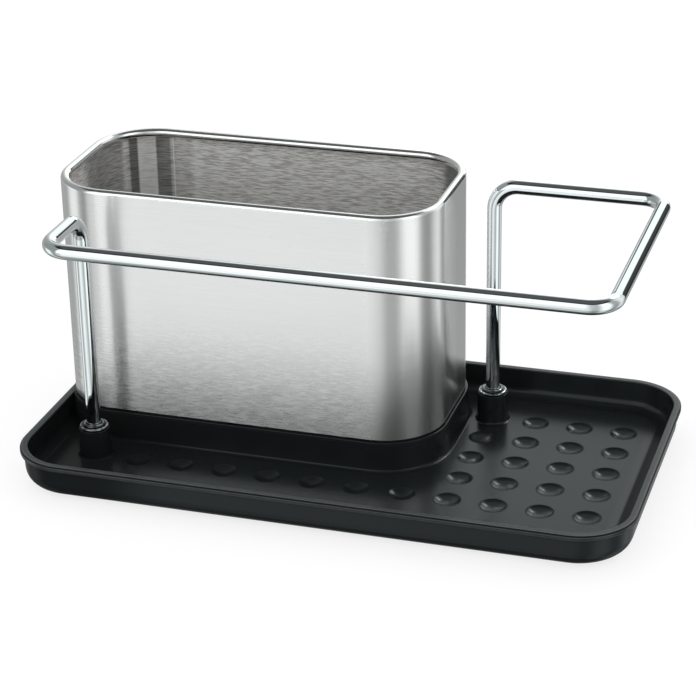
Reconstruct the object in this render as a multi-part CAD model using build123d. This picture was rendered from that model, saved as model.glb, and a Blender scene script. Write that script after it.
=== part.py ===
from build123d import *
import math
import os

# A kitchen sink caddy, in millimetres.
# The origin is on the table, under the middle of the whole caddy. X runs along the long side,
# Y runs from the front to the back and Z is up.

# Tray
tray_length = 300.0
tray_width = 166.5
tray_height = 18.0
tray_depth = 13.9
tray_corner_radius = 28.0
tray_draft = 4.0
rim_width = 3.8
rim_inner_round = 0.6
lip_overhang = 1.3
lip_height = 2.8
lip_round = 0.7
tray_foot_radius = 8.0
tray_inside_radius = 5.0
floor_thickness = 2.2
base_ring_width = 3.0

# Rubber feet, each in a shallow seat in a pad under the tray
foot_height = 1.0
foot_radius = 7.0
foot_seat_depth = 1.2
foot_seat_gap = 0.1
foot_edge_round = 0.4
foot_pad_radius = 9.5
foot_pad_inset = 24.0

# Utensil box: a sheet wall with its top edge rolled inward
box_length = 191.6
box_width = 94.6
box_height = 114.0
box_corner_radius = 30.0
box_sheet = 0.8
box_back_gap = 9.0
curl_radius = 2.2
curl_turn = 300.0

# Raised plinth of the tray, which carries the box, and the pad on it that centres the box
plinth_rise = 1.0
plinth_ledge = 1.2
plinth_setback = 0.4
plinth_back_inset = 5.0
plinth_draft = 4.0
plinth_foot_radius = 1.6
plinth_edge_round = 0.4
plinth_wall = 2.4
plinth_rim_lap = 1.0
pad_inset = 9.0
pad_height = 2.0
pad_edge_round = 0.4

# Moulded base that plugs into the box from below
base_flange = 1.0
base_flange_setback = 0.9
base_plug_height = 9.0
base_plug_gap = 0.15
base_wall = 2.2
base_floor = 2.2
pad_side_gap = 0.5
pad_top_gap = 0.4
drain_length = 22.0
drain_width = 4.0
drain_pitch_x = 32.0
drain_pitch_y = 18.0
drain_columns = 5
drain_rows = 3
notch_width = 14.0
notch_pitch = 60.0
notch_count = 3

# Hollows in the tray floor, on a square grid that starts at the right socket
dimple_pitch = 22.15
dimple_radius = 6.2
dimple_depth = 2.1
dimple_lip = 0.8
dimple_edge_gap = 20.0
dimple_box_gap = 10.0
dimple_socket_gap = 3.0

# Sockets for the rail, moulded on the tray floor beside the box and in front of it
right_socket_gap = 13.8
right_socket_inset = 34.35
left_socket_gap = 19.35
left_socket_inset = 29.8
socket_radius = 7.3
socket_draft = 2.0
socket_foot_radius = 1.2
socket_edge_round = 0.3
socket_depth = 13.4

# Rail: one bent rod that stands in the two sockets
rod_radius = 3.5
rod_gap = 0.05
rod_end_gap = 0.4
rod_end_chamfer = 0.6
rail_height = 110.5
rail_bend_radius = 12.0
rail_least_straight = 0.5
rail_overhang = 3.0
rail_right_inset = 6.6

# Collars on the rod, which stop it on the sockets
collar_radius = 7.0
collar_disc = 1.5
collar_hub_radius = 5.2
collar_hub = 0.9
collar_round = 0.4

# One overrun for all cutting tools, and one slack for finding edges and faces by their height
overrun = 5.0
level_slack = 0.001

# Levels worked out from the sizes above
tray_bottom = foot_height
rim_z = tray_bottom + tray_height
floor_z = rim_z - tray_depth
floor_under_z = floor_z - floor_thickness
plinth_z = rim_z + plinth_rise
pad_z = plinth_z + pad_height
box_z = plinth_z + base_flange
rail_z = rim_z + rail_height
socket_bottom = plinth_z - socket_depth
rod_bottom = socket_bottom + rod_end_gap

# Places worked out from the sizes above
tray_y = rail_overhang / 2
tray_centre = (0, tray_y)
tray_back = tray_y + tray_width / 2
tray_front = tray_y - tray_width / 2
tray_right = tray_length / 2
tray_left = -tray_length / 2
box_left = tray_left + plinth_setback + plinth_ledge
box_right = box_left + box_length
box_back = tray_back - box_back_gap
box_front = box_back - box_width
box_centre = ((box_left + box_right) / 2, (box_front + box_back) / 2)
right_socket = (box_right + right_socket_gap, tray_back - right_socket_inset)
left_socket = (tray_left + left_socket_inset, box_front - left_socket_gap)
rail_front = tray_front - rail_overhang + rod_radius
rail_right = tray_right - rail_right_inset - rod_radius


def rounded_block(centre, size, radius, bottom, top, draft=0):
    """Upright block with round corners. Its size is that of the top, and a draft narrows it below."""
    outline = Pos(centre[0], centre[1], top) * RectangleRounded(size[0], size[1], radius)
    return extrude(outline, amount=top - bottom, dir=(0, 0, -1), taper=draft)


def box_block(inset, bottom, top):
    """Upright block with the box's outline, set in by the same amount all round."""
    size = (box_length - 2 * inset, box_width - 2 * inset)
    return rounded_block(box_centre, size, box_corner_radius - inset, bottom, top)


def tray_block(inset, bottom, top, draft=0):
    """Upright block with the tray's outline, set in by the same amount all round."""
    size = (tray_length - 2 * inset, tray_width - 2 * inset)
    return rounded_block(tray_centre, size, tray_corner_radius - inset, bottom, top, draft)


def plinth_block(inset, bottom, top, draft=0):
    """Block under the box that follows its outline, with a part that ends beyond the tray's back."""
    step = plinth_ledge - inset
    size = (box_length + 2 * step, box_width + 2 * step)
    under = rounded_block(box_centre, size, box_corner_radius + step, bottom, top, draft)
    left = box_left - step
    right = box_right - box_corner_radius - plinth_back_inset - inset
    back = tray_back + box_corner_radius
    centre = ((left + right) / 2, (box_centre[1] + back) / 2)
    behind_size = (right - left, back - box_centre[1])
    return under + rounded_block(centre, behind_size, plinth_back_inset, bottom, top, draft)


def upright(centre, radius, bottom, top):
    """Upright round bar."""
    return Pos(centre[0], centre[1], (bottom + top) / 2) * Cylinder(radius, top - bottom)


def edges_at(shape, height):
    """The edges of a shape that lie flat at one height."""
    return shape.edges().filter_by_position(Axis.Z, height - level_slack, height + level_slack)


def make_socket(centre):
    """Drafted round socket without its hole, blended into a disc of the floor."""
    height = plinth_z - floor_z
    foot = socket_radius + height * math.tan(math.radians(socket_draft))
    disc = upright(centre, foot + 2 * socket_foot_radius, floor_under_z, floor_z)
    body = disc + Pos(centre[0], centre[1], floor_z + height / 2) * Cone(foot, socket_radius, height)
    inner = edges_at(body, floor_z).sort_by(Edge.length)[0]
    body = fillet(inner, socket_foot_radius)
    return fillet(edges_at(body, plinth_z), socket_edge_round)


def make_relief():
    """Floor plate with what stands on it, each foot blended into the plate."""
    plate_size = (tray_length + tray_width, 2 * tray_width)
    plate = rounded_block(tray_centre, plate_size, tray_corner_radius, floor_under_z, floor_z)
    plinth = plinth_block(0, floor_z, plinth_z, -plinth_draft)
    plinth = fillet(edges_at(plinth, plinth_z), plinth_edge_round)
    relief = plate + plinth
    plate_top = relief.faces().filter_by_position(Axis.Z, floor_z - level_slack, floor_z + level_slack)
    relief = fillet(plate_top[0].inner_wires()[0].edges(), plinth_foot_radius)
    pad = fillet(edges_at(box_block(pad_inset, plinth_z, pad_z), pad_z), pad_edge_round)
    return relief + [pad, make_socket(left_socket), make_socket(right_socket)]


def foot_places():
    """Name and centre of each rubber foot."""
    across = tray_length / 2 - foot_pad_inset
    along = tray_width / 2 - foot_pad_inset
    return {
        "foot_front_left": (-across, tray_y - along),
        "foot_front_right": (across, tray_y - along),
        "foot_back_left": (-across, tray_y + along),
        "foot_back_right": (across, tray_y + along),
    }


def make_underside():
    """Space to cut from below: under the floor and inside the plinth, but not in the foot pads."""
    ring_inset = lip_overhang + tray_height * math.tan(math.radians(tray_draft))
    ring_inset = ring_inset + tray_foot_radius + base_ring_width
    space = tray_block(ring_inset, tray_bottom - overrun, floor_under_z)
    plinth_space = plinth_block(plinth_wall, tray_bottom - overrun, plinth_z - plinth_wall)
    space = space + (plinth_space & tray_block(ring_inset, tray_bottom - overrun, plinth_z))
    for centre in foot_places().values():
        space = space - upright(centre, foot_pad_radius, tray_bottom - 2 * overrun, plinth_z)
    return space


def dimple_sizes():
    """Bowl radius, bowl centre height, lip centre distance and wall angle of a floor hollow."""
    bowl = (dimple_radius**2 + dimple_depth**2) / (2 * dimple_depth)
    bowl_z = floor_z - dimple_depth + bowl
    drop = bowl_z - floor_z + dimple_lip
    lip_x = math.sqrt((bowl + dimple_lip) ** 2 - drop**2)
    return bowl, bowl_z, lip_x, math.atan2(lip_x, drop)


def dimple_cutter():
    """Tool for one floor hollow: a shallow bowl with a soft lip."""
    bowl, bowl_z, lip_x, angle = dimple_sizes()
    lowest = (0, floor_z - dimple_depth)
    half = (bowl * math.sin(angle / 2), bowl_z - bowl * math.cos(angle / 2))
    meet = (bowl * math.sin(angle), bowl_z - bowl * math.cos(angle))
    lip_half_x = lip_x - dimple_lip * math.sin(angle / 2)
    lip_half_z = floor_z - dimple_lip + dimple_lip * math.cos(angle / 2)
    lip_end = (lip_x, floor_z)
    lines = ThreePointArc(lowest, half, meet)
    lines += ThreePointArc(meet, (lip_half_x, lip_half_z), lip_end)
    lines += Polyline(lip_end, (lip_x, floor_z + overrun), (0, floor_z + overrun), lowest)
    return revolve(Plane.XZ * make_face(lines), Axis.Z)


def dimple_bump():
    """Skin under one floor hollow, which keeps the floor's thickness there."""
    bowl, bowl_z, lip_x, angle = dimple_sizes()
    ball = Pos(0, 0, bowl_z) * Sphere(bowl + floor_thickness)
    reach = upright((0, 0), lip_x + floor_thickness, tray_bottom - overrun, floor_z - floor_thickness / 2)
    return ball & reach


def on_open_floor(place):
    """Whether a hollow fits there, clear of the tray's walls, the plinth and the sockets."""
    x = place[0]
    y = place[1]
    past_side = abs(x) > tray_length / 2 - dimple_edge_gap
    past_end = abs(y - tray_y) > tray_width / 2 - dimple_edge_gap
    under_box = x < box_right + dimple_box_gap and y > box_front - dimple_box_gap
    reach = socket_radius + dimple_radius + dimple_socket_gap
    on_socket = min(math.dist(place, left_socket), math.dist(place, right_socket)) < reach
    return not (past_side or past_end or under_box or on_socket)


def dimple_places():
    """Every place of the floor grid that holds a hollow."""
    columns = round(tray_length / dimple_pitch)
    rows = round(tray_width / dimple_pitch)
    places = []
    for row in range(rows):
        for column in range(-columns, columns):
            place = (right_socket[0] + column * dimple_pitch, right_socket[1] - row * dimple_pitch)
            if on_open_floor(place):
                places.append(place)
    return places


def make_tray():
    """Moulded tray with its rim, plinth, sockets and floor hollows."""
    shell = tray_block(lip_overhang, tray_bottom, rim_z, tray_draft)
    shell = fillet(edges_at(shell, tray_bottom), tray_foot_radius)
    lip = tray_block(0, rim_z - lip_height, rim_z)
    lip = fillet(edges_at(lip, rim_z) + edges_at(lip, rim_z - lip_height), lip_round)
    hollow = tray_block(rim_width, floor_z, rim_z, tray_draft)
    hollow = fillet(edges_at(hollow, floor_z), tray_inside_radius)
    tray = (shell + lip) - hollow
    rim_face = tray.faces().filter_by(Axis.Z).sort_by(Axis.Z)[-1]
    tray = fillet(rim_face.inner_wires()[0].edges(), rim_inner_round)

    outline = shell + tray_block(plinth_setback, rim_z - lip_height / 2, pad_z)
    reach = tray_back - rim_width + plinth_rim_lap
    back_cut = rounded_block(
        (0, reach + tray_width / 2),
        (2 * tray_length, tray_width),
        tray_corner_radius,
        tray_bottom - overrun,
        pad_z + overrun,
    )
    tray = tray + ((make_relief() & outline) - back_cut)
    tray = tray - make_underside()

    bump = dimple_bump()
    tray = tray + [Pos(x, y, 0) * bump for x, y in dimple_places()]
    cutter = dimple_cutter()
    tray = tray - [Pos(x, y, 0) * cutter for x, y in dimple_places()]
    for centre in (left_socket, right_socket):
        tray = tray - upright(centre, rod_radius + rod_gap, socket_bottom, plinth_z + overrun)
    seat_radius = foot_radius + foot_seat_gap
    seat_top = tray_bottom + foot_seat_depth
    for centre in foot_places().values():
        tray = tray - upright(centre, seat_radius, tray_bottom - overrun, seat_top)
    return tray


def make_foot(centre):
    """Rubber foot, seated in its pad."""
    body = upright(centre, foot_radius, 0, tray_bottom + foot_seat_depth)
    return fillet(edges_at(body, 0), foot_edge_round)


def make_box_wall():
    """Sheet wall of the box, all round, with the top edge rolled inward."""
    outline = RectangleRounded(box_length, box_width, box_corner_radius)
    path = (Pos(box_centre[0], box_centre[1], box_z) * outline).wire()
    start = path @ 0
    ahead = path % 0
    inward = Vector(0, 0, 1).cross(ahead)
    if inward.dot(Vector(box_centre[0], box_centre[1], box_z) - start) < 0:
        inward = -inward
    plane = Plane(origin=start, x_dir=inward, z_dir=inward.cross(Vector(0, 0, 1)))
    curl_z = box_height - curl_radius
    inner = curl_radius - box_sheet
    end = math.radians(180 - curl_turn)
    outer_end = (curl_radius + curl_radius * math.cos(end), curl_z + curl_radius * math.sin(end))
    inner_end = (curl_radius + inner * math.cos(end), curl_z + inner * math.sin(end))
    lines = Line((0, 0), (0, curl_z))
    lines += CenterArc((curl_radius, curl_z), curl_radius, 180, -curl_turn)
    lines += Line(outer_end, inner_end)
    lines += CenterArc((curl_radius, curl_z), inner, 180, -curl_turn)
    lines += Polyline((box_sheet, curl_z), (box_sheet, 0), (0, 0))
    return sweep(plane * make_face(lines), path=path)


def make_box_base():
    """Moulded base of the box, with its drain slots."""
    inside_z = pad_z + pad_top_gap + base_floor
    plug_inset = box_sheet + base_plug_gap
    base = box_block(base_flange_setback, plinth_z, box_z)
    base = base + box_block(plug_inset, plinth_z, box_z + base_plug_height)
    base = base - box_block(plug_inset + base_wall, inside_z, box_z + base_plug_height + overrun)
    base = base - box_block(pad_inset - pad_side_gap, plinth_z - overrun, pad_z + pad_top_gap)
    slot = SlotOverall(drain_length, drain_width)
    slots = extrude(slot, amount=inside_z - plinth_z + 2 * overrun)
    grid = GridLocations(drain_pitch_x, drain_pitch_y, drain_columns, drain_rows)
    place = Pos(box_centre[0], box_centre[1], plinth_z - overrun)
    base = base - [place * spot * slots for spot in grid]
    for index in range(notch_count):
        x = box_centre[0] + (index - (notch_count - 1) / 2) * notch_pitch
        notch = Pos(x, box_front, plinth_z) * Box(notch_width, 2 * pad_inset, 2 * base_flange)
        base = base - notch
    return base


def rail_bend():
    """Bend radius of the rail, less where its shortest bar has no room for two such bends."""
    left_bar = left_socket[1] - rail_front
    loop_bar = rail_right - right_socket[0]
    return min(rail_bend_radius, min(left_bar, loop_bar) / 2 - rail_least_straight)


def make_rail():
    """Bent rod: two posts, a short left bar, a long front bar and a loop round the right end."""
    points = [
        (left_socket[0], left_socket[1], rod_bottom),
        (left_socket[0], left_socket[1], rail_z),
        (left_socket[0], rail_front, rail_z),
        (rail_right, rail_front, rail_z),
        (rail_right, right_socket[1], rail_z),
        (right_socket[0], right_socket[1], rail_z),
        (right_socket[0], right_socket[1], rod_bottom),
    ]
    path = FilletPolyline(*points, radius=rail_bend())
    rail = sweep(Plane(origin=path @ 0, z_dir=path % 0) * Circle(rod_radius), path=path)
    return chamfer(edges_at(rail, rod_bottom), rod_end_chamfer)


def make_collar(centre):
    """Stepped collar on the rod, resting on its socket."""
    collar = upright(centre, collar_radius, plinth_z, plinth_z + collar_disc)
    collar = fillet(edges_at(collar, plinth_z + collar_disc), collar_round)
    collar = collar + upright(centre, collar_hub_radius, plinth_z, plinth_z + collar_disc + collar_hub)
    collar = fillet(edges_at(collar, plinth_z + collar_disc + collar_hub), collar_round)
    return collar - upright(centre, rod_radius + rod_gap, plinth_z - overrun, plinth_z + overrun)


def main():
    """Make every piece and write it under its name."""
    parts = {"tray": make_tray()}
    for name, centre in foot_places().items():
        parts[name] = make_foot(centre)
    parts["box_wall"] = make_box_wall()
    parts["box_base"] = make_box_base()
    parts["rail"] = make_rail()
    parts["collar_left"] = make_collar(left_socket)
    parts["collar_right"] = make_collar(right_socket)
    os.makedirs("parts", exist_ok=True)
    for name, shape in parts.items():
        export_step(shape, f"parts/{name}.step")


main()
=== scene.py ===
import math

import bpy
from mathutils import Matrix, Vector


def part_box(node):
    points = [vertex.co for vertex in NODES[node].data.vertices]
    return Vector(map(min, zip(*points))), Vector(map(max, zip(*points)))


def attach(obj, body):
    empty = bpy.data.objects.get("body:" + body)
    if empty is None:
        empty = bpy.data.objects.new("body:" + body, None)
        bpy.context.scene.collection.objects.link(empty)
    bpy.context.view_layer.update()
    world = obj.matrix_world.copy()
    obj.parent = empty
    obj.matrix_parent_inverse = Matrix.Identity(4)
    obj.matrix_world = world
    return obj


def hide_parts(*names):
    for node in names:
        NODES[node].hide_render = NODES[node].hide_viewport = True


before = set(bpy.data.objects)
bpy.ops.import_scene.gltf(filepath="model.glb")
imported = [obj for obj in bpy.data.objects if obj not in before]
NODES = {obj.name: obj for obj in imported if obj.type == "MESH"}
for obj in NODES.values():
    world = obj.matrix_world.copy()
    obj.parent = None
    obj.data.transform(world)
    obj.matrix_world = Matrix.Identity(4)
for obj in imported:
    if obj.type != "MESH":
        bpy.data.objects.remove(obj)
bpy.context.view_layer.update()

# Everything is in metres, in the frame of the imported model: X along the tray, Y to the back, Z up.
MM = 0.001

# Rod, rolled sheet and collars: sizes that the boxes of the nodes don't give
ROD_RADIUS = 3.5 * MM
ROD_SIDES = 64
BEND_RADIUS = 12 * MM
BEND_STEPS = 24
SHEET = 0.8 * MM
BOX_CORNER = 30 * MM
CORNER_STEPS = 24
CURL_RADIUS = 2.2 * MM
CURL_TURN = math.radians(300)
CURL_STEPS = 32
COLLAR_BORE = 3.55 * MM
COLLAR_RADIUS = 7.0 * MM
COLLAR_DISC = 1.5 * MM
COLLAR_HUB = 5.2 * MM
COLLAR_OVERLAP = 0.6 * MM
COLLAR_STEPS = 96
GROOVE_OUT = 0.35 * MM
GROOVE_LEVEL = 0.86
QUARTER_STEPS = 8
HUB_STEPS = (-3, 12)
RING_PATH = 10.0 * MM
SHARPEST_BEND = math.radians(40)
SHARPEST_RING = math.radians(50)

# Tray: its sockets, its rim and the hollows of its floor, on a grid that starts at the right post
SOCKET_REACH = 9.0 * MM
TRAY_CORNER = 28.0 * MM
RIM_LEVEL = 19.0 * MM
RIM_BAND = 3.0 * MM
RIM_WIDTH = 4.2 * MM
HOLLOW_PITCH = 22.15 * MM
HOLLOW_EDGE = 6.3 * MM
HOLLOW_REACH = 64.0 * MM
HOLLOW_FROM_BOX = 10.0 * MM
HOLLOW_FROM_END = 20.0 * MM
HOLLOW_FROM_POST = 10.0 * MM

# Camera, solved from the photograph's straight edges. It has no shift, so it is pitched down.
IMAGE_SIDE = 696
CAMERA_PLACE = Vector((296.4188, -939.3687, 510.4201)) * MM
CAMERA_YAW = 0.3078
CAMERA_PITCH = 0.4295
CAMERA_ROLL = 0.0192
CAMERA_SIGHT = 20
FOCAL_PIXELS = 2262.69
SENSOR = 36.0


# Small helpers for node trees

def add_node(tree, kind, values=None, **settings):
    """Adds a node, sets its properties and then the values of its inputs by name or number."""
    node = tree.nodes.new(kind)
    for key, value in settings.items():
        setattr(node, key, value)
    for key, value in (values or {}).items():
        socket = node.inputs[key]
        if isinstance(value, bpy.types.NodeSocket):
            tree.links.new(value, socket)
        else:
            socket.default_value = value
    return node


def maths(tree, operation, first, second=0.0, clamp=False):
    """One Math node, and its result."""
    node = add_node(tree, "ShaderNodeMath", {0: first, 1: second}, operation=operation, use_clamp=clamp)
    return node.outputs[0]


def times(tree, first, second):
    """The product of two levels."""
    return maths(tree, "MULTIPLY", first, second)


def diagonal(tree, across, along):
    """The length of two distances at right angles."""
    square = maths(tree, "ADD", times(tree, across, across), times(tree, along, along))
    return maths(tree, "SQRT", square)


def ramp(tree, source, stops):
    """A colour ramp through grey or colour stops, and its colour."""
    node = add_node(tree, "ShaderNodeValToRGB", {"Fac": source})
    elements = node.color_ramp.elements
    while len(elements) < len(stops):
        elements.new(0.5)
    for element, (place, colour) in zip(elements, stops):
        element.position = place
        element.color = grey(colour) if isinstance(colour, (int, float)) else (*colour, 1)
    return node.outputs["Color"]


def grey(level):
    """A grey as four numbers."""
    return (level, level, level, 1)


def noise(tree, place, scale, detail=3.0, roughness=0.55):
    """A noise pattern and its level."""
    values = {"Vector": place, "Scale": scale, "Detail": detail, "Roughness": roughness}
    return add_node(tree, "ShaderNodeTexNoise", values).outputs["Fac"]


def spread(tree, source, low, high):
    """Takes a level from 0 to 1 to the range from low to high."""
    values = {"Value": source, "To Min": low, "To Max": high}
    return add_node(tree, "ShaderNodeMapRange", values).outputs["Result"]


def spread_from(tree, source, low, high):
    """Takes a level between low and high to the range from 0 to 1."""
    values = {"Value": source, "From Min": low, "From Max": high}
    return add_node(tree, "ShaderNodeMapRange", values).outputs["Result"]


def mix_colours(tree, share, first, second):
    """A mix of two colours by a share."""
    node = add_node(tree, "ShaderNodeMix", data_type="RGBA")
    for number, value in ((0, share), (6, first), (7, second)):
        if isinstance(value, bpy.types.NodeSocket):
            tree.links.new(value, node.inputs[number])
        else:
            node.inputs[number].default_value = value
    return node.outputs[2]


def stretched(tree, scales):
    """Object coordinates, stretched by three numbers."""
    place = add_node(tree, "ShaderNodeTexCoord").outputs["Object"]
    return add_node(tree, "ShaderNodeMapping", {"Vector": place, "Scale": scales}).outputs["Vector"]


def new_material(name):
    """A material with a bare node tree, and its main shader."""
    material = bpy.data.materials.new(name)
    material.use_nodes = True
    tree = material.node_tree
    tree.nodes.clear()
    shader = add_node(tree, "ShaderNodeBsdfPrincipled")
    add_node(tree, "ShaderNodeOutputMaterial", {"Surface": shader.outputs[0]})
    return material, tree, shader


def bump(tree, shader, height, depth, strength=1.0):
    """Bump on the main shader."""
    values = {"Height": height, "Distance": depth, "Strength": strength}
    node = add_node(tree, "ShaderNodeBump", values)
    tree.links.new(node.outputs["Normal"], shader.inputs["Normal"])


def middle(node):
    """The middle of a node's box."""
    low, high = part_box(node)
    return (low + high) / 2


def soft_step(tree, source, start, end):
    """A soft step from 0 to 1 between two values."""
    values = {"Value": source, "From Min": start, "From Max": end}
    node = add_node(tree, "ShaderNodeMapRange", values, interpolation_type="SMOOTHSTEP")
    return node.outputs["Result"]


def window(tree, source, rise, fall):
    """The product of two fades of one level: one between them and zero outside."""
    return times(tree, soft_step(tree, source, *rise), soft_step(tree, source, *fall))


def between(tree, share, first, second):
    """A level between two levels by a share."""
    node = add_node(tree, "ShaderNodeMix", data_type="FLOAT")
    for number, value in ((0, share), (2, first), (3, second)):
        if isinstance(value, bpy.types.NodeSocket):
            tree.links.new(value, node.inputs[number])
        else:
            node.inputs[number].default_value = value
    return node.outputs[0]


# Materials. A fade is a pair of values between which a soft step goes from 0 to 1, upwards or downwards.

def mark(tree, name):
    """A level that the mesh carries under a name."""
    return add_node(tree, "ShaderNodeAttribute", attribute_name=name).outputs["Fac"]


def place_parts(tree):
    """The three Object coordinates."""
    place = add_node(tree, "ShaderNodeTexCoord").outputs["Object"]
    return add_node(tree, "ShaderNodeSeparateXYZ", {0: place}).outputs


def post_distance(tree):
    """Distance from the axis of the nearer post of the rail."""
    parts = place_parts(tree)
    nearest = None
    for collar in ("collar_left", "collar_right"):
        axis = middle(collar)
        x = maths(tree, "SUBTRACT", parts["X"], axis.x)
        y = maths(tree, "SUBTRACT", parts["Y"], axis.y)
        reach = diagonal(tree, x, y)
        nearest = reach if nearest is None else maths(tree, "MINIMUM", nearest, reach)
    return nearest


# Steel: each grain is a noise with its scales along X, Y and Z, and the levels that become 0 and 1
FINE_GRAIN = ((85, 85, 2400), 0.34, 0.66)
BROAD_GRAIN = ((12, 12, 500), 0.32, 0.68)
DASH_GRAIN = ((170, 170, 2100), 0.36, 0.64)
FINE_SHARE = 0.7
STEEL_CLOUDS = (9, 9, 14)
OUTER_COLOURS = ((0.1, (0.87, 0.85, 0.84)), (0.9, (0.90, 0.885, 0.875)))
DASH_COLOURS = (
    (0.1, (0.8, 0.79, 0.78)), (0.58, (0.83, 0.82, 0.81)),
    (0.7, (0.93, 0.92, 0.91)), (0.82, (1.0, 1.0, 1.0)),
)
INNER_COLOURS = (
    (0.0, (0.5, 0.48, 0.455)), (0.5, (0.76, 0.74, 0.71)),
    (0.64, (1.0, 0.99, 0.97)), (1.0, (1.0, 1.0, 1.0)),
)
EDGE_COLOUR = (0.95, 0.95, 0.945, 1)
SEAM_COLOUR = (0.98, 0.98, 0.97, 1)
# Heights: the dashes outside grow downwards, and painted shade darkens the inside lower down, so it gets
# lighter upwards
DASHED_FADE = (85 * MM, 35 * MM)
LIT_FADE = (60 * MM, 134 * MM)
# Painted shade inside the box below the lit height: its share and its grey
INSIDE_SHADE_SHARE = 0.2
INSIDE_SHADE_GREY = 0.3
# Grey of the painted dark reflection bands in the box's back corners
BAND_GREY = 0.02
# The outside is calmer towards the right corner: distances from the box's right side
CALM_FADE = (44 * MM, 22 * MM)
CALM_DASHES = 0.3
CALM_LEVEL = 0.5
# The four round corners are smoother: distances before and after the start of their arc
CORNER_FADE = (-6 * MM, 18 * MM)
CALM_SHARE = 0.35
DASH_ROUGH_SHARE = 0.5
STREAK_ROUGH = (0.25, 0.325)
CLOUD_ROUGH = 0.015
CORNER_ROUGH = 0.2
INNER_ROUGH = (0.5, 0.38)
EDGE_ROUGH = 0.16
INNER_METALLIC = 0.34
EDGE_ANISOTROPY = 0.3
QUARTER_TURN = 0.25
STEEL_BUMP = 0.02 * MM
PLAIN_RELIEF = 0.04
DASHED_RELIEF = 0.05
CALM_RELIEF = 0.015
INNER_RELIEF = 0.4


def grain(tree, scales, low, high):
    """Brushing: a stretched noise whose levels from low to high become 0 to 1."""
    return spread_from(tree, noise(tree, stretched(tree, scales), 1.0, 3.0), low, high)


def inner_colour(tree, dashes):
    """Colour inside the box: dashes, with painted shade lower down, painted reflection bands in the
    corners, and the weld.
    """
    inner = ramp(tree, dashes, INNER_COLOURS)
    # Painted shade: the inside is mixed towards a grey lower down
    lit = soft_step(tree, place_parts(tree)["Z"], *LIT_FADE)
    inner = mix_colours(tree, lit, mix_colours(tree, INSIDE_SHADE_SHARE, inner, grey(INSIDE_SHADE_GREY)), inner)
    # Painted reflections: dark and white bands in the box's back corners
    kept, white = painted_reflection_bands(tree)
    inner = mix_colours(tree, white, mix_colours(tree, kept, grey(BAND_GREY), inner), grey(1.0))
    return mix_colours(tree, seam_line(tree), inner, SEAM_COLOUR)


def outer_roughness(tree, streaks, dashes, dashed, calm):
    """Roughness outside the box: by its streaks above and its dashes below, smoother at the corners."""
    above = between(tree, CALM_SHARE, CALM_LEVEL, streaks)
    below = between(tree, DASH_ROUGH_SHARE, streaks, dashes)
    level = between(tree, calm, between(tree, dashed, above, below), CALM_LEVEL)
    cloudy = noise(tree, stretched(tree, STEEL_CLOUDS), 1.0, 2.0)
    uneven = spread(tree, cloudy, -CLOUD_ROUGH, CLOUD_ROUGH)
    rough = maths(tree, "ADD", spread(tree, level, *STREAK_ROUGH), uneven)
    low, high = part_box("box_wall")
    off_middle = maths(tree, "SUBTRACT", place_parts(tree)["X"], (low.x + high.x) / 2)
    off_middle = maths(tree, "ABSOLUTE", off_middle)
    arc_start = (high.x - low.x) / 2 - BOX_CORNER
    ends = soft_step(tree, off_middle, arc_start + CORNER_FADE[0], arc_start + CORNER_FADE[1])
    return between(tree, ends, rough, CORNER_ROUGH)


def brushed_steel():
    """Stainless sheet, brushed round the box: smooth outside, dull inside, with a bright rolled edge."""
    material, tree, shader = new_material("brushed_steel")
    fine = times(tree, grain(tree, *FINE_GRAIN), FINE_SHARE)
    broad = times(tree, grain(tree, *BROAD_GRAIN), 1 - FINE_SHARE)
    streaks = maths(tree, "ADD", fine, broad)
    dashes = grain(tree, *DASH_GRAIN)
    inside = mark(tree, "inside")
    rolled = mark(tree, "rolled")
    parts = place_parts(tree)
    right_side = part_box("box_wall")[1].x
    dashed = soft_step(tree, parts["Z"], *DASHED_FADE)
    calm = soft_step(tree, parts["X"], right_side - CALM_FADE[0], right_side - CALM_FADE[1])

    share = times(tree, dashed, between(tree, calm, 1.0, CALM_DASHES))
    outer = ramp(tree, streaks, OUTER_COLOURS)
    outer = mix_colours(tree, share, outer, ramp(tree, dashes, DASH_COLOURS))
    colour = mix_colours(tree, inside, outer, inner_colour(tree, dashes))
    colour = mix_colours(tree, rolled, colour, EDGE_COLOUR)
    tree.links.new(colour, shader.inputs["Base Color"])

    rough = outer_roughness(tree, streaks, dashes, dashed, calm)
    rough = between(tree, inside, rough, spread(tree, dashes, *INNER_ROUGH))
    rough = between(tree, rolled, rough, EDGE_ROUGH)
    tree.links.new(rough, shader.inputs["Roughness"])
    tree.links.new(between(tree, inside, 1.0, INNER_METALLIC), shader.inputs["Metallic"])
    tree.links.new(between(tree, rolled, 1.0, EDGE_ANISOTROPY), shader.inputs["Anisotropic"])
    shader.inputs["Anisotropic Rotation"].default_value = QUARTER_TURN
    around = add_node(tree, "ShaderNodeTangent", direction_type="RADIAL", axis="Z")
    tree.links.new(around.outputs["Tangent"], shader.inputs["Tangent"])

    relief = between(tree, calm, between(tree, dashed, PLAIN_RELIEF, DASHED_RELIEF), CALM_RELIEF)
    relief = between(tree, inside, relief, INNER_RELIEF)
    bump(tree, shader, between(tree, inside, streaks, dashes), STEEL_BUMP, relief)
    return material


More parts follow.
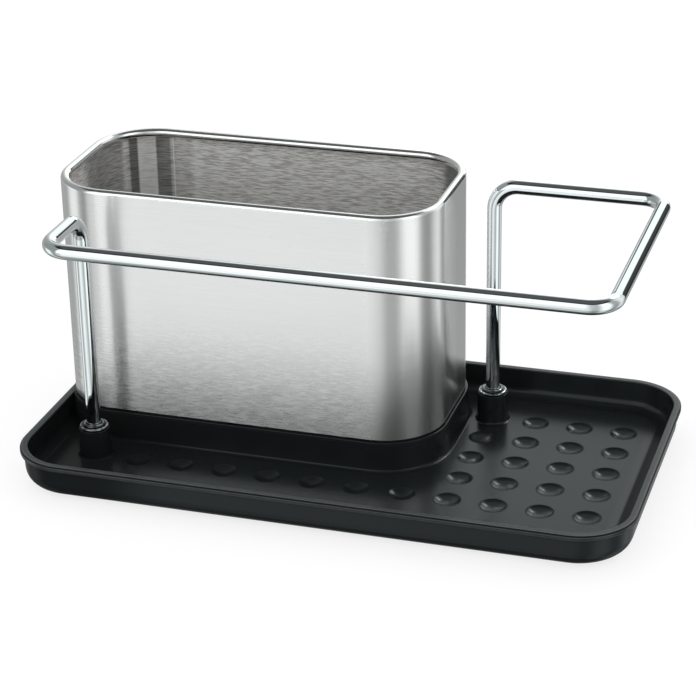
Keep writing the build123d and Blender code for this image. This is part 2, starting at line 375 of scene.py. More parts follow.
# Painted reflections: light and dark bands inside the box's left back corner, by distance from its left
# side: share of the colour kept, share of white. The right back corner has one painted dark band, by
# distance from its right side.
BAND_WIDTH = 48.0 * MM
INNER_REFLECTION_BANDS = (
    (0.0, (0.5, 0, 0)), (0.14, (0.6, 0, 0)), (0.17, (0.9, 0, 0)), (0.2, (0.75, 0, 0)),
    (0.215, (0.22, 0, 0)), (0.275, (0.22, 0, 0)), (0.29, (1, 0.6, 0)), (0.45, (1, 0.5, 0)),
    (0.465, (0.3, 0, 0)), (0.6, (0.34, 0, 0)), (0.62, (0.75, 0, 0)), (0.82, (0.85, 0, 0)),
    (0.9, (1, 0.3, 0)), (1.0, (1, 0, 0)),
)
BAND_FADE = 10 * MM
# Painted dark reflection band inside the right back corner: its fade and the colour kept
RIGHT_BAND_FADE = (19 * MM, 14 * MM)
RIGHT_BAND = (0.35, 0, 0, 1)
NO_BAND = (1, 0, 0, 1)
SEAM_INSET = 1.0 * MM
SEAM_WIDTH = 0.5 * MM


def painted_reflection_bands(tree):
    """Painted reflections as upright bands inside the box's back corners: share of the colour kept,
    share of white.
    """
    low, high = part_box("box_wall")
    half_way = (low.y + high.y) / 2
    parts = place_parts(tree)
    across = spread_from(tree, parts["X"], low.x, low.x + BAND_WIDTH)
    behind = soft_step(tree, parts["Y"], half_way, half_way + BAND_FADE)
    bands = mix_colours(tree, behind, NO_BAND, ramp(tree, across, INNER_REFLECTION_BANDS))
    first, last = RIGHT_BAND_FADE
    right = soft_step(tree, parts["X"], high.x - first, high.x - last)
    bands = mix_colours(tree, right, bands, RIGHT_BAND)
    return add_node(tree, "ShaderNodeSeparateColor", {0: bands}).outputs[:2]


def seam_line(tree):
    """The thin upright weld of the sheet, inside the back wall beside its left corner."""
    low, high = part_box("box_wall")
    parts = place_parts(tree)
    off = maths(tree, "ABSOLUTE", maths(tree, "SUBTRACT", parts["X"], low.x + BOX_CORNER + SEAM_INSET))
    near = spread_from(tree, off, SEAM_WIDTH, 0.0)
    behind = maths(tree, "GREATER_THAN", parts["Y"], (low.y + high.y) / 2)
    return times(tree, near, behind)


# Chrome
RIPPLE_SCALE = (60, 60, 60)
HAIR_SCALE = (900, 900, 900)
RIPPLE_COLOURS = ((0.3, (0.86, 0.89, 0.90)), (0.7, (0.90, 0.93, 0.94)))
CHROME_ROUGH = (0.012, 0.03)
CHROME_BUMP = 0.01 * MM
CHROME_RELIEF = 0.3
# Collars: painted reflections, as brightness from the rod outwards, over the collar's radius
COLLAR_REFLECTION_RINGS = (
    (0.0, 0.4), (0.06, 0.05), (0.2, 0.06), (0.27, 0.32), (0.33, 0.32), (0.4, 0.06), (0.5, 0.02),
    (0.62, 0.08), (0.78, 0.1), (0.86, 0.42), (0.93, 0.34), (0.97, 0.08), (1.0, 0.25),
)
COLLAR_CLOUDS = (420, 420, 420)
# Painted glints that break up the collars' painted reflections: noise levels and gain
GLINT_LEVELS = (0.38, 0.66)
GLINT_GAIN = (0.3, 2.4)
# Painted dark and bright reflections of the collars
PAINTED_DARK_REFLECTION = (0.05, 0.06, 0.06, 1)
PAINTED_BRIGHT_REFLECTION = (0.86, 0.89, 0.90, 1)
COLLAR_ROUGH = (0.05, 0.14)


def finish_chrome(tree, shader, colour, rough, relief):
    """Joins a colour, a roughness and a faint bump to a metal shader."""
    tree.links.new(colour, shader.inputs["Base Color"])
    tree.links.new(rough, shader.inputs["Roughness"])
    shader.inputs["Metallic"].default_value = 1.0
    bump(tree, shader, relief, CHROME_BUMP, CHROME_RELIEF)


def polished_chrome():
    """Bright chrome with a faint ripple under the plating and a few hairline marks."""
    material, tree, shader = new_material("polished_chrome")
    ripple = noise(tree, stretched(tree, RIPPLE_SCALE), 1.0, 2.0)
    hairs = noise(tree, stretched(tree, HAIR_SCALE), 1.0, 4.0)
    rough = spread(tree, hairs, *CHROME_ROUGH)
    finish_chrome(tree, shader, ramp(tree, ripple, RIPPLE_COLOURS), rough, ripple)
    return material


def turned_chrome():
    """Chrome of the collars with painted reflections: bright on the crests of the rings, dark in the
    grooves between them, broken up by painted glints.
    """
    material, tree, shader = new_material("turned_chrome")
    share = spread_from(tree, post_distance(tree), ROD_RADIUS, COLLAR_RADIUS)
    rings = ramp(tree, share, COLLAR_REFLECTION_RINGS)
    cloudy = noise(tree, stretched(tree, COLLAR_CLOUDS), 1.0, 2.0)
    # Painted reflections of the collars, broken up by painted glints
    glints = spread(tree, spread_from(tree, cloudy, *GLINT_LEVELS), *GLINT_GAIN)
    rings = maths(tree, "MULTIPLY", rings, glints, clamp=True)
    colour = mix_colours(tree, rings, PAINTED_DARK_REFLECTION, PAINTED_BRIGHT_REFLECTION)
    finish_chrome(tree, shader, colour, spread(tree, cloudy, *COLLAR_ROUGH), cloudy)
    return material


# Black plastic and rubber: darkest and lightest colour, least and most roughness, grain, shine
TRAY_LOOK = ((0.0105, 0.0125, 0.013), (0.0135, 0.016, 0.0165), 0.18, 0.27, 0.010 * MM, 0.28)
BASE_LOOK = ((0.011, 0.0115, 0.012), (0.016, 0.0165, 0.017), 0.38, 0.5, 0.03 * MM, 0.35)
FOOT_LOOK = ((0.022, 0.022, 0.022), (0.032, 0.032, 0.031), 0.7, 0.85, 0.05 * MM, 0.4)
PLASTIC_CLOUDS = (16, 16, 16)
PLASTIC_GRAIN = (2600, 2600, 2600)
CLOUD_SHARE = 0.7
PLASTIC_RELIEF = 0.5


def moulded_plastic(name, dark, light, smoothest, roughest, depth, shine):
    """Black moulded plastic with a fine satin grain and a slight unevenness in its gloss."""
    material, tree, shader = new_material(name)
    cloudy = noise(tree, stretched(tree, PLASTIC_CLOUDS), 1.0, 3.0)
    fine = noise(tree, stretched(tree, PLASTIC_GRAIN), 1.0, 2.0)
    colour = mix_colours(tree, cloudy, (*dark, 1), (*light, 1))
    tree.links.new(colour, shader.inputs["Base Color"])
    level = maths(tree, "ADD", times(tree, cloudy, CLOUD_SHARE), times(tree, fine, 1 - CLOUD_SHARE))
    rough = spread(tree, level, smoothest, roughest)
    tree.links.new(rough, shader.inputs["Roughness"])
    shader.inputs["Specular IOR Level"].default_value = shine
    bump(tree, shader, fine, depth, PLASTIC_RELIEF)
    return material, tree, shader, colour, rough


def rim_inset(tree):
    """Distance in from the outer edge of the tray's rim."""
    low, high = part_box("tray")
    parts = place_parts(tree)
    gaps = []
    for axis, first, last in (("X", low.x, high.x), ("Y", low.y, high.y)):
        off = maths(tree, "ABSOLUTE", maths(tree, "SUBTRACT", parts[axis], (first + last) / 2))
        gap = maths(tree, "SUBTRACT", off, (last - first) / 2 - TRAY_CORNER)
        gaps.append(maths(tree, "MAXIMUM", gap, 0.0))
    return maths(tree, "SUBTRACT", TRAY_CORNER, diagonal(tree, *gaps))


def hollow_distance(tree):
    """Distance from the middle of the nearest hollow, or a metre more where the floor has none."""
    parts = place_parts(tree)
    start = middle("collar_right")
    tray_low, tray_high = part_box("tray")
    box_low, box_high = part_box("box_wall")
    half = HOLLOW_PITCH / 2
    offsets = []
    places = []
    for axis, first in (("X", start.x), ("Y", start.y)):
        shifted = maths(tree, "SUBTRACT", parts[axis], first - half)
        offset = maths(tree, "SUBTRACT", maths(tree, "FLOORED_MODULO", shifted, HOLLOW_PITCH), half)
        offsets.append(offset)
        places.append(maths(tree, "SUBTRACT", parts[axis], offset))
    beside = maths(tree, "GREATER_THAN", places[0], box_high.x + HOLLOW_FROM_BOX)
    ahead = maths(tree, "LESS_THAN", places[1], box_low.y - HOLLOW_FROM_BOX)
    from_middle = maths(tree, "SUBTRACT", places[1], (tray_low.y + tray_high.y) / 2)
    open_floor = maths(tree, "MAXIMUM", beside, ahead)
    limits = (
        ("LESS_THAN", maths(tree, "ABSOLUTE", places[0]), tray_high.x - HOLLOW_FROM_END),
        ("LESS_THAN", maths(tree, "ABSOLUTE", from_middle), HOLLOW_REACH),
        ("GREATER_THAN", post_distance(tree), HOLLOW_FROM_POST),
    )
    for comparison, level, limit in limits:
        open_floor = times(tree, open_floor, maths(tree, comparison, level, limit))
    return maths(tree, "ADD", diagonal(tree, *offsets), maths(tree, "SUBTRACT", 1.0, open_floor))


# Painted highlight lines along the tray's rim: share of painted highlight, share of gloss. Those of the
# side go from the lip's lower edge up, those of the flat from the rim's outer edge in.
RIM_SIDE = (
    (0.0, (0.0, 0.3, 0)), (0.1, (0.0, 0.3, 0)), (0.16, (0.05, 1, 0)), (0.3, (0.08, 1, 0)),
    (0.38, (0.03, 1, 0)), (0.62, (0.03, 1, 0)), (0.68, (0.14, 1, 0)), (0.76, (0.14, 1, 0)),
    (0.81, (0.0, 0.2, 0)), (1.0, (0.0, 0.2, 0)),
)
RIM_FLAT = (
    (0.0, (0.0, 0.2, 0)), (0.1, (0.0, 0.3, 0)), (0.16, (0.12, 1, 0)), (0.3, (0.12, 1, 0)),
    (0.38, (0.03, 1, 0)), (0.78, (0.03, 1, 0)), (0.86, (0.0, 0.3, 0)), (1.0, (0.0, 0.15, 0)),
)
NO_RIM_HIGHLIGHT = (0, 1, 0, 1)
# Fades by height
FLAT_FADE = (RIM_LEVEL - 0.12 * MM, RIM_LEVEL - 0.04 * MM)
POLISHED_FADE = (RIM_LEVEL - 0.9 * MM, RIM_LEVEL - 0.3 * MM)
RIM_TOP = RIM_LEVEL + 0.1 * MM
UNDER_RIM = RIM_LEVEL - 2 * MM
# Fades by distance in from the rim's outer edge
LIP_FADE = (3.6 * MM, 3.2 * MM)
BEND_FADES = ((9.0 * MM, 7.8 * MM), (4.2 * MM, 4.8 * MM))
RIGHT_FADES = ((12.9 * MM, 11.2 * MM), (5.0 * MM, 7.0 * MM))
GLOW_FADE = (17.0 * MM, 14.5 * MM)
# Fades along the tray
BEND_PLACE = (-20 * MM, -60 * MM)
RIGHT_PLACE = (118 * MM, 128 * MM)
LEFT_PLACE = (-62 * MM, -104 * MM)
SHADED_PLACE = (62 * MM, 30 * MM)
# Fades by distance from the middle of a hollow
OUTLINE_FADES = (
    (HOLLOW_EDGE - 0.9 * MM, HOLLOW_EDGE - 0.2 * MM),
    (HOLLOW_EDGE + 0.9 * MM, HOLLOW_EDGE + 0.3 * MM),
)
BOWL_FADE = (HOLLOW_EDGE - 0.6 * MM, HOLLOW_EDGE - 2.2 * MM)
# Shares of the gloss. A pair is for the light part of the floor and the part that the box shades.
BEND_GLOSS = 0.25
LEFT_GLOSS = 0.16
GLOW_GLOSS = 1.2
RIGHT_GLOSS = 0.1
OUTLINE_GLOSS = (0.25, 0.7)
BOWL_GLOSS = (0.8, 0.5)
# Share of painted highlight inside the hollows, on the light part of the floor and on the part that the
# box shades
BOWL_PAINTED_HIGHLIGHT = (0.05, 0.0)
TRAY_SHINE = 0.28
# Noise that breaks up the painted highlight lines of the rim: scale and gain
BREAKUP_SCALE = (260, 260, 260)
BREAKUP_GAIN = (0.25, 1.35)
# Colour of the painted highlights along the rim's lines and in the hollows
PAINTED_HIGHLIGHT_COLOUR = (0.45, 0.50, 0.49, 1)
TRAY_TINT = (0.88, 1.0, 0.99, 1)
RIM_ROUGH = 0.3
SOCKET_ROUGH = 0.1


def rim_lines(tree, inset, height, below):
    """Share of painted highlight and share of gloss along the rim's fine lines."""
    above_lip = maths(tree, "GREATER_THAN", height, RIM_LEVEL - RIM_BAND)
    side = ramp(tree, spread_from(tree, height, RIM_LEVEL - RIM_BAND, RIM_LEVEL), RIM_SIDE)
    side = mix_colours(tree, soft_step(tree, inset, *LIP_FADE), NO_RIM_HIGHLIGHT, side)
    side = mix_colours(tree, above_lip, NO_RIM_HIGHLIGHT, side)
    flat = ramp(tree, spread_from(tree, inset, 0.0, RIM_WIDTH), RIM_FLAT)
    rim = mix_colours(tree, soft_step(tree, height, *FLAT_FADE), side, flat)
    near = maths(tree, "LESS_THAN", inset, RIM_WIDTH)
    rim = mix_colours(tree, times(tree, near, below), NO_RIM_HIGHLIGHT, rim)
    return add_node(tree, "ShaderNodeSeparateColor", {0: rim}).outputs[:2]


def tray_finish():
    """Satin black tray: glossier sockets and hollows, rim polished by handling, painted highlights on
    rim lines and hollows.
    """
    material, tree, shader, plain, rough = moulded_plastic("tray_plastic", *TRAY_LOOK)
    parts = place_parts(tree)
    height = parts["Z"]
    inset = rim_inset(tree)
    below = maths(tree, "LESS_THAN", height, RIM_TOP)
    highlight_share, gloss = rim_lines(tree, inset, height, below)

    bend = times(tree, window(tree, inset, *BEND_FADES), soft_step(tree, parts["X"], *BEND_PLACE))
    at_right = soft_step(tree, parts["X"], *RIGHT_PLACE)
    right = times(tree, window(tree, inset, *RIGHT_FADES), at_right)
    glow = times(tree, soft_step(tree, inset, *GLOW_FADE), at_right)
    left = soft_step(tree, parts["X"], *LEFT_PLACE)
    left = times(tree, left, maths(tree, "LESS_THAN", height, UNDER_RIM))
    hollow = hollow_distance(tree)
    outline = window(tree, hollow, *OUTLINE_FADES)
    bowl = soft_step(tree, hollow, *BOWL_FADE)
    shaded = soft_step(tree, parts["X"], *SHADED_PLACE)
    shares = (
        (bend, BEND_GLOSS),
        (left, LEFT_GLOSS),
        (glow, GLOW_GLOSS),
        (right, RIGHT_GLOSS),
        (outline, between(tree, shaded, *OUTLINE_GLOSS)),
        (bowl, between(tree, shaded, *BOWL_GLOSS)),
    )
    for place, share in shares:
        gloss = times(tree, gloss, between(tree, place, 1.0, share))
    tree.links.new(times(tree, gloss, TRAY_SHINE), shader.inputs["Specular IOR Level"])
    shader.inputs["Specular Tint"].default_value = TRAY_TINT

    # Painted highlight lines along the rim, broken up by noise
    highlight_breakup = noise(tree, stretched(tree, BREAKUP_SCALE), 1.0, 4.0)
    rim_highlight = times(tree, highlight_share, spread(tree, highlight_breakup, *BREAKUP_GAIN))
    # Painted highlight inside the hollows, on the light part of the floor
    pale = times(tree, bowl, between(tree, shaded, *BOWL_PAINTED_HIGHLIGHT))
    colour = mix_colours(tree, rim_highlight, mix_colours(tree, pale, plain, PAINTED_HIGHLIGHT_COLOUR), PAINTED_HIGHLIGHT_COLOUR)
    tree.links.new(colour, shader.inputs["Base Color"])

    polished = times(tree, soft_step(tree, height, *POLISHED_FADE), below)
    rough = between(tree, polished, rough, RIM_ROUGH)
    socket = maths(tree, "LESS_THAN", post_distance(tree), SOCKET_REACH)
    rough = between(tree, socket, rough, SOCKET_ROUGH)
    tree.links.new(rough, shader.inputs["Roughness"])
    return material


STEEL = brushed_steel()
CHROME = polished_chrome()
COLLAR = turned_chrome()
TRAY_PLASTIC = tray_finish()
BASE_PLASTIC = moulded_plastic("base_plastic", *BASE_LOOK)[0]
RUBBER = moulded_plastic("foot_rubber", *FOOT_LOOK)[0]


# Pieces made by Geometry Nodes

def new_shape_tree(name, sizes):
    """A tree with a geometry in and out, and one named input for each size, count or material."""
    tree = bpy.data.node_groups.new(name, "GeometryNodeTree")
    tree.interface.new_socket("Geometry", in_out="INPUT", socket_type="NodeSocketGeometry")
    for label, kind in sizes:
        tree.interface.new_socket(label, in_out="INPUT", socket_type=kind)
    tree.interface.new_socket("Geometry", in_out="OUTPUT", socket_type="NodeSocketGeometry")
    return tree


def finish_shape(tree, geometry, material):
    """Ends a tree: real meshes, their material and the output."""
    real = add_node(tree, "GeometryNodeRealizeInstances", {"Geometry": geometry})
    values = {"Geometry": real.outputs[0], "Material": material}
    painted = add_node(tree, "GeometryNodeSetMaterial", values)
    add_node(tree, "NodeGroupOutput", {"Geometry": painted.outputs[0]})


def bent_rod_tree():
    """A round rod that follows the straight lines of the input, with every corner bent to one radius."""
    sizes = (
        ("Rod radius", "NodeSocketFloat"),
        ("Bend radius", "NodeSocketFloat"),
        ("Bend steps", "NodeSocketInt"),
        ("Sides", "NodeSocketInt"),
        ("Material", "NodeSocketMaterial"),
    )
    tree = new_shape_tree("bent_rod", sizes)
    given = add_node(tree, "NodeGroupInput").outputs
    route = add_node(tree, "GeometryNodeMeshToCurve", {"Mesh": given["Geometry"]})
    bend = {"Radius": given["Bend radius"], "Count": given["Bend steps"]}
    values = {"Curve": route.outputs[0], **bend}
    bent = add_node(tree, "GeometryNodeFilletCurve", values, mode="POLY")
    values = {"Radius": given["Rod radius"], "Resolution": given["Sides"]}
    ring = add_node(tree, "GeometryNodeCurvePrimitiveCircle", values)
    values = {"Curve": bent.outputs[0], "Profile Curve": ring.outputs["Curve"], "Fill Caps": True}
    rod = add_node(tree, "GeometryNodeCurveToMesh", values)
    finish_shape(tree, rod.outputs[0], given["Material"])
    return tree


def shaped_piece(name, base, tree, values):
    """Runs a tree on a base mesh and keeps the result as a plain mesh at the origin."""
    carrier = bpy.data.objects.new(name + "_base", base)
    bpy.context.scene.collection.objects.link(carrier)
    modifier = carrier.modifiers.new("shape", "NODES")
    modifier.node_group = tree
    for item in tree.interface.items_tree:
        if item.item_type == "SOCKET" and item.name in values:
            modifier[item.identifier] = values[item.name]
    bpy.context.view_layer.update()
    seen = carrier.evaluated_get(bpy.context.evaluated_depsgraph_get())
    mesh = bpy.data.meshes.new_from_object(seen)
    carrier.modifiers.remove(modifier)
    bpy.data.objects.remove(carrier)
    piece = bpy.data.objects.new(name, mesh)
    bpy.context.scene.collection.objects.link(piece)
    return piece


def smooth(piece, sharpest):
    """Shades a piece smooth, apart from edges that turn by more than an angle."""
    for face in piece.data.polygons:
        face.use_smooth = True
    piece.data.set_sharp_from_angle(angle=sharpest)


def line_mesh(name, points, closed=False):
    """A mesh of one line through points."""
    mesh = bpy.data.meshes.new(name)
    edges = [(number, number + 1) for number in range(len(points) - 1)]
    if closed:
        edges.append((len(points) - 1, 0))
    mesh.from_pydata([tuple(point) for point in points], edges, [])
    return mesh


def rail_corners():
    """The corners of the rail's centre line before bending, from the left post to the right post."""
    low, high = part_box("rail")
    left = middle("collar_left")
    right = middle("collar_right")
    top = high.z - ROD_RADIUS
    front = low.y + ROD_RADIUS
    end = high.x - ROD_RADIUS
    return [
        (left.x, left.y, low.z),
        (left.x, left.y, top),
        (left.x, front, top),
        (end, front, top),
        (end, right.y, top),
        (right.x, right.y, top),
        (right.x, right.y, low.z),
    ]


def make_rail():
    """The bent chrome rod."""
    values = {
        "Rod radius": ROD_RADIUS,
        "Bend radius": BEND_RADIUS,
        "Bend steps": BEND_STEPS,
        "Sides": ROD_SIDES,
        "Material": CHROME,
    }
    rail = shaped_piece("rail_rod", line_mesh("rail_line", rail_corners()), bent_rod_tree(), values)
    smooth(rail, SHARPEST_BEND)
    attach(rail, "rail")
    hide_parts("rail")


def square_normals(piece, low, high, radius):
    """Turns the normals of an upright wall straight out, so that its flat sides shade flat."""
    mesh = piece.data
    centre = (low + high) / 2
    reach = (high - low) / 2
    normals = []
    for loop, corner in zip(mesh.loops, mesh.corner_normals):
        place = mesh.vertices[loop.vertex_index].co - centre
        out = Vector((
            math.copysign(max(abs(place.x) - reach.x + radius, 0.0), place.x),
            math.copysign(max(abs(place.y) - reach.y + radius, 0.0), place.y),
            0.0,
        )).normalized()
        normal = corner.vector
        level = math.copysign(math.hypot(normal.x, normal.y), normal.dot(out))
        normals.append(out * level + Vector((0.0, 0.0, normal.z)))
    mesh.normals_split_custom_set(normals)


def rolled_sheet_tree():
    """An upright sheet round a rectangle with round corners. The input is the sheet's section."""
    sizes = (
        ("Length", "NodeSocketFloat"),
        ("Width", "NodeSocketFloat"),
        ("Corner radius", "NodeSocketFloat"),
        ("Corner steps", "NodeSocketInt"),
        ("Centre", "NodeSocketVector"),
        ("Material", "NodeSocketMaterial"),
    )
    tree = new_shape_tree("rolled_sheet", sizes)
    given = add_node(tree, "NodeGroupInput").outputs
    section = add_node(tree, "GeometryNodeMeshToCurve", {"Mesh": given["Geometry"]})
    values = {"Width": given["Length"], "Height": given["Width"]}
    sides = add_node(tree, "GeometryNodeCurvePrimitiveQuadrilateral", values)
    corner = {"Radius": given["Corner radius"], "Count": given["Corner steps"]}
    values = {"Curve": sides.outputs[0], **corner}
    outline = add_node(tree, "GeometryNodeFilletCurve", values, mode="POLY")
    values = {"Curve": outline.outputs[0]}
    upright = add_node(tree, "GeometryNodeSetCurveNormal", values, mode="Z_UP")
    values = {"Curve": upright.outputs[0], "Profile Curve": section.outputs[0]}
    sheet = add_node(tree, "GeometryNodeCurveToMesh", values)
    values = {"Geometry": sheet.outputs[0], "Translation": given["Centre"]}
    placed = add_node(tree, "GeometryNodeTransform", values)
    finish_shape(tree, placed.outputs[0], given["Material"])
    return tree


def sheet_section(height):
    """Section of the sheet with its rolled edge, and what each point belongs to."""
    centre = Vector((-CURL_RADIUS, -height + CURL_RADIUS))
    points = [(0.0, 0.0)]
    inside = [0.0]
    rolled = [0.0]
    for turn, radius, level in ((0, CURL_RADIUS, 0.0), (1, CURL_RADIUS - SHEET, 1.0)):
        steps = range(CURL_STEPS + 1)
        for step in (reversed(steps) if turn else steps):
            angle = CURL_TURN * step / CURL_STEPS
            points.append((centre.x + radius * math.cos(angle), centre.y - radius * math.sin(angle)))
            inside.append(level)
            rolled.append(min(step, 1.0))
    points.append((-SHEET, 0.0))
    inside.append(1.0)
    rolled.append(0.0)
    return points, {"inside": inside, "rolled": rolled}


def make_box_wall():
    """The brushed sheet wall with its rolled top edge."""
    low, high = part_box("box_wall")
    points, marks = sheet_section(high.z - low.z)
    section = line_mesh("box_section", [(x, y, 0.0) for x, y in points], closed=True)
    for name, levels in marks.items():
        layer = section.attributes.new(name, "FLOAT", "POINT")
        layer.data.foreach_set("value", levels)
    centre = middle("box_wall")
    values = {
        "Length": high.x - low.x,
        "Width": high.y - low.y,
        "Corner radius": BOX_CORNER,
        "Corner steps": CORNER_STEPS,
        "Centre": (centre.x, centre.y, low.z),
        "Material": STEEL,
    }
    wall = shaped_piece("box_sheet", section, rolled_sheet_tree(), values)
    smooth(wall, SHARPEST_BEND)
    square_normals(wall, low, high, BOX_CORNER)
    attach(wall, "box")
    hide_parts("box_wall")


def turned_ring_tree():
    """A ring round an upright axis. The input is its section as distance and depth."""
    sizes = (
        ("Steps", "NodeSocketInt"),
        ("Centre", "NodeSocketVector"),
        ("Material", "NodeSocketMaterial"),
    )
    tree = new_shape_tree("turned_ring", sizes)
    given = add_node(tree, "NodeGroupInput").outputs
    section = add_node(tree, "GeometryNodeMeshToCurve", {"Mesh": given["Geometry"]})
    values = {"Radius": RING_PATH, "Resolution": given["Steps"]}
    circle = add_node(tree, "GeometryNodeCurvePrimitiveCircle", values)
    values = {"Curve": circle.outputs["Curve"]}
    upright = add_node(tree, "GeometryNodeSetCurveNormal", values, mode="Z_UP")
    values = {"Curve": upright.outputs[0], "Profile Curve": section.outputs[0]}
    ring = add_node(tree, "GeometryNodeCurveToMesh", values)
    values = {"Geometry": ring.outputs[0], "Translation": given["Centre"]}
    placed = add_node(tree, "GeometryNodeTransform", values)
    finish_shape(tree, placed.outputs[0], given["Material"])
    return tree


def arc(x, y, radius, first, last):
    """Points of an arc about a place, from one step of a quarter turn to another."""
    points = []
    for step in range(first, last):
        angle = math.radians(90) * step / QUARTER_STEPS
        points.append((x + radius * math.cos(angle), y + radius * math.sin(angle)))
    return points


def collar_section(outer, height):
    """Section of a collar: two rounded rings, one on the other, with a groove between them."""
    disc = COLLAR_DISC / 2
    hub = (height - COLLAR_DISC + COLLAR_OVERLAP) / 2
    points = [(COLLAR_BORE, 0.0), (outer - disc, 0.0)]
    points += arc(outer - disc, disc, disc, -QUARTER_STEPS, QUARTER_STEPS)
    points.append((COLLAR_HUB + GROOVE_OUT, COLLAR_DISC * GROOVE_LEVEL))
    points += arc(COLLAR_HUB - hub, height - hub, hub, *HUB_STEPS)
    points.append((COLLAR_BORE, height - hub))
    return points


def make_collars():
    """The two bright collars of the rail, on its posts."""
    tree = turned_ring_tree()
    for node in ("collar_left", "collar_right"):
        low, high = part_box(node)
        points = collar_section((high.x - low.x) / 2, high.z - low.z)
        flat = [(reach - RING_PATH, -rise, 0.0) for reach, rise in points]
        section = line_mesh(node + "_section", flat, closed=True)
        centre = middle(node)
        values = {"Steps": COLLAR_STEPS, "Centre": (centre.x, centre.y, low.z), "Material": COLLAR}
        ring = shaped_piece(node + "_rings", section, tree, values)
        smooth(ring, SHARPEST_RING)
        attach(ring, "rail")
        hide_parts(node)


def paint(node, material):
    """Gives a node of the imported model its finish."""
    mesh = NODES[node].data
    mesh.materials.clear()
    mesh.materials.append(material)


# Stage, light and camera

FLOOR_SIDE = 6.0
FLOOR_MATT = 0.62
FLOOR_SHADE = 0.30
FLOOR_GLOW = 0.78


def make_floor():
    """Pale plain floor, white to the camera, that keeps a soft shadow."""
    mesh = bpy.data.meshes.new("floor")
    corners = [(x * FLOOR_SIDE, y * FLOOR_SIDE, 0) for x, y in ((-1, -1), (1, -1), (1, 1), (-1, 1))]
    mesh.from_pydata(corners, [], [(0, 1, 2, 3)])
    floor = bpy.data.objects.new("floor", mesh)
    bpy.context.scene.collection.objects.link(floor)
    material = bpy.data.materials.new("floor_white")
    material.use_nodes = True
    tree = material.node_tree
    tree.nodes.clear()
    matt = add_node(tree, "ShaderNodeBsdfDiffuse", {"Color": grey(FLOOR_MATT)})
    shade = add_node(tree, "ShaderNodeBsdfDiffuse", {"Color": grey(FLOOR_SHADE)})
    glow = add_node(tree, "ShaderNodeEmission", {"Color": grey(1.0), "Strength": FLOOR_GLOW})
    white = add_node(tree, "ShaderNodeAddShader", {0: shade.outputs[0], 1: glow.outputs[0]})
    path = add_node(tree, "ShaderNodeLightPath")
    values = {0: path.outputs["Is Camera Ray"], 1: matt.outputs[0], 2: white.outputs[0]}
    either = add_node(tree, "ShaderNodeMixShader", values)
    clear = add_node(tree, "ShaderNodeBsdfTransparent")
    values = {0: path.outputs["Is Glossy Ray"], 1: either.outputs[0], 2: clear.outputs[0]}
    seen = add_node(tree, "ShaderNodeMixShader", values)
    add_node(tree, "ShaderNodeOutputMaterial", {"Surface": seen.outputs[0]})
    mesh.materials.append(material)


# What gloss shows of the room: brightness by direction round from +X in degrees, low down and high up
ROOM_SCALE = 1.5
ROOM_LOW = (
    (0, 0.44), (8, 0.33), (16, 0.36), (28, 0.68), (40, 0.88), (46, 0.66), (53, 0.36), (78, 0.4),
    (100, 0.42), (166, 0.42), (178, 1.0), (194, 1.0), (203, 0.42), (214, 0.3), (222, 0.62),
    (232, 0.66), (240, 0.95), (248, 1.08), (256, 0.95), (270, 0.86), (277, 0.8), (284, 0.66),
    (291, 0.5), (304, 0.48), (311, 0.6), (318, 0.88), (326, 1.1), (334, 1.15), (343, 1.1),
    (350, 0.9), (356, 0.55), (360, 0.44),
)
ROOM_HIGH = (
    (0, 0.44), (16, 0.4), (28, 0.8), (40, 0.95), (50, 0.8), (60, 0.8), (75, 1.1), (111, 1.1),
    (119, 0.6), (130, 0.4), (160, 0.3), (216, 0.3), (225, 1.25), (262, 1.25), (275, 0.9),
    (284, 0.62), (304, 0.5), (313, 0.7), (326, 1.2), (343, 1.3), (352, 0.9), (360, 0.44),
)
# Patches behind the object: first and last direction, lowest and highest elevation, share of brightness
ROOM_PATCHES = (
    (79, 106, -4, 14, 2.2),
    (58, 76, 35, 49, 12.0),
    (59, 74.5, -13, 19, 0.06),
    (107.5, 113, 3, 16, 0.1),
)
PATCH_SIDE = 0.7
PATCH_RISE = 1.2
# Fades by elevation in degrees: the dark part overhead reaches lower behind the object than in front
EYE_FADE = (-7.0, 3.0)
OVERHEAD_FADE = (58.0, 64.0)
FRONT_FADE = (46.0, 52.0)
REAR_FADE = (34.0, 66.0)
LOW_FADE = (-33.0, -39.0)
FOOT_FADE = (-62.0, -70.0)
# The rear by share of a whole turn: its middle, and how far it reaches to each side
REAR_MIDDLE = 0.25
REAR_REACH = (0.21, 0.17)
ROOM_DARK = 0.02
ROOM_TOP = 0.09
LOW_SHARE = 0.6
GLOSS_TINT = (0.955, 1, 0.995, 1)
EVEN_LIGHT = 0.85


def level_round(tree, turn, stops):
    """Brightness by direction, from stops in degrees."""
    shares = [(place / 360, level / ROOM_SCALE) for place, level in stops]
    return times(tree, ramp(tree, turn, shares), ROOM_SCALE)


def patch(tree, turn, height, first, last, low, high):
    """One inside a patch of the room and zero outside, with soft edges."""
    sides = (
        ((first - PATCH_SIDE) / 360, (first + PATCH_SIDE) / 360),
        ((last + PATCH_SIDE) / 360, (last - PATCH_SIDE) / 360),
    )
    rises = ((low - PATCH_RISE, low + PATCH_RISE), (high + PATCH_RISE, high - PATCH_RISE))
    return times(tree, window(tree, turn, *sides), window(tree, height, *rises))


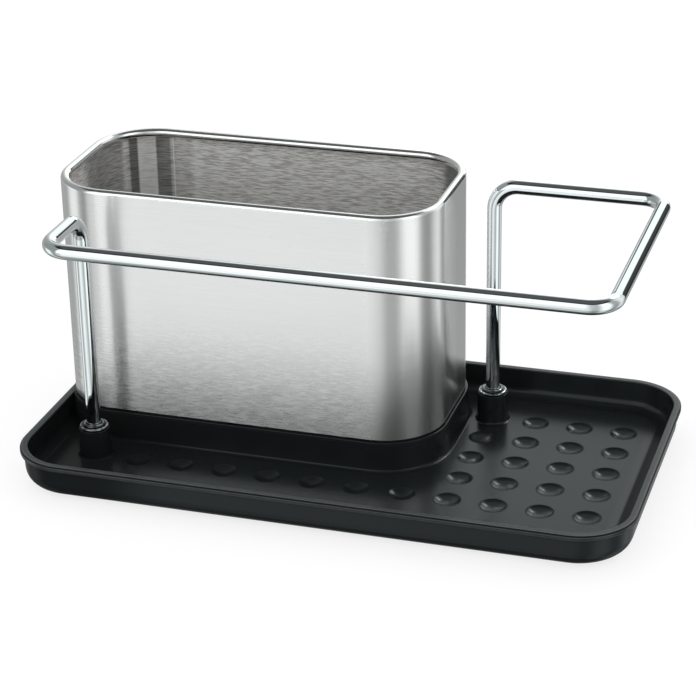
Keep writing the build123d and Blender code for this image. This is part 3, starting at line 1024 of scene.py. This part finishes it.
def room_level(tree):
    """Brightness of the room in the direction that is looked up."""
    direction = add_node(tree, "ShaderNodeTexCoord").outputs["Generated"]
    parts = add_node(tree, "ShaderNodeSeparateXYZ", {0: direction}).outputs
    height = times(tree, maths(tree, "ARCSINE", parts["Z"]), 180 / math.pi)
    turn = maths(tree, "DIVIDE", maths(tree, "ARCTAN2", parts["Y"], parts["X"]), 2 * math.pi)
    turn = maths(tree, "FLOORED_MODULO", turn, 1.0)
    below = level_round(tree, turn, ROOM_LOW)
    above = level_round(tree, turn, ROOM_HIGH)
    level = between(tree, soft_step(tree, height, *EYE_FADE), below, above)
    for first, last, low, high, share in ROOM_PATCHES:
        inside = patch(tree, turn, height, first, last, low, high)
        level = times(tree, level, between(tree, inside, 1.0, share))
    overhead = between(tree, soft_step(tree, height, *OVERHEAD_FADE), ROOM_DARK, ROOM_TOP)
    from_rear = maths(tree, "ABSOLUTE", maths(tree, "SUBTRACT", turn, REAR_MIDDLE))
    rear = soft_step(tree, from_rear, *REAR_REACH)
    above_front = soft_step(tree, height, *FRONT_FADE)
    above_rear = soft_step(tree, height, *REAR_FADE)
    level = between(tree, between(tree, rear, above_front, above_rear), level, overhead)
    dimmed = times(tree, level, LOW_SHARE)
    level = between(tree, soft_step(tree, height, *LOW_FADE), level, dimmed)
    return between(tree, soft_step(tree, height, *FOOT_FADE), level, ROOM_TOP)


def make_room():
    """The room: white to the camera, even for matt light, and light and dark zones for gloss."""
    world = bpy.data.worlds.new("studio")
    bpy.context.scene.world = world
    world.use_nodes = True
    tree = world.node_tree
    tree.nodes.clear()
    values = {"Color": GLOSS_TINT, "Strength": room_level(tree)}
    gloss = add_node(tree, "ShaderNodeBackground", values)
    even = add_node(tree, "ShaderNodeBackground", {"Color": grey(1.0), "Strength": EVEN_LIGHT})
    white = add_node(tree, "ShaderNodeBackground", {"Color": grey(1.0), "Strength": 1.0})
    path = add_node(tree, "ShaderNodeLightPath")
    values = {0: path.outputs["Is Glossy Ray"], 1: even.outputs[0], 2: gloss.outputs[0]}
    lit = add_node(tree, "ShaderNodeMixShader", values)
    values = {0: path.outputs["Is Camera Ray"], 1: lit.outputs[0], 2: white.outputs[0]}
    either = add_node(tree, "ShaderNodeMixShader", values)
    add_node(tree, "ShaderNodeOutputWorld", {"Surface": either.outputs[0]})


def make_camera():
    """The camera where the photograph was taken, with no shift and no depth of field."""
    ahead = Vector((
        -math.sin(CAMERA_YAW) * math.cos(CAMERA_PITCH),
        math.cos(CAMERA_YAW) * math.cos(CAMERA_PITCH),
        -math.sin(CAMERA_PITCH),
    ))
    right = Vector((math.cos(CAMERA_YAW), math.sin(CAMERA_YAW), 0))
    down = ahead.cross(right)
    rolled_right = right * math.cos(CAMERA_ROLL) + down * math.sin(CAMERA_ROLL)
    rolled_down = down * math.cos(CAMERA_ROLL) - right * math.sin(CAMERA_ROLL)
    turn = Matrix((rolled_right, -rolled_down, -ahead)).transposed()
    data = bpy.data.cameras.new("camera")
    data.sensor_width = SENSOR
    data.lens = FOCAL_PIXELS / IMAGE_SIDE * SENSOR
    data.clip_end = CAMERA_SIGHT
    camera = bpy.data.objects.new("camera", data)
    camera.matrix_world = Matrix.Translation(CAMERA_PLACE) @ turn.to_4x4()
    bpy.context.scene.collection.objects.link(camera)
    bpy.context.scene.camera = camera


make_rail()
make_box_wall()
make_collars()
paint("tray", TRAY_PLASTIC)
paint("box_base", BASE_PLASTIC)
for foot in ("foot_front_left", "foot_front_right", "foot_back_left", "foot_back_right"):
    paint(foot, RUBBER)

make_floor()
make_room()
make_camera()
bpy.context.scene.view_settings.view_transform = "Standard"
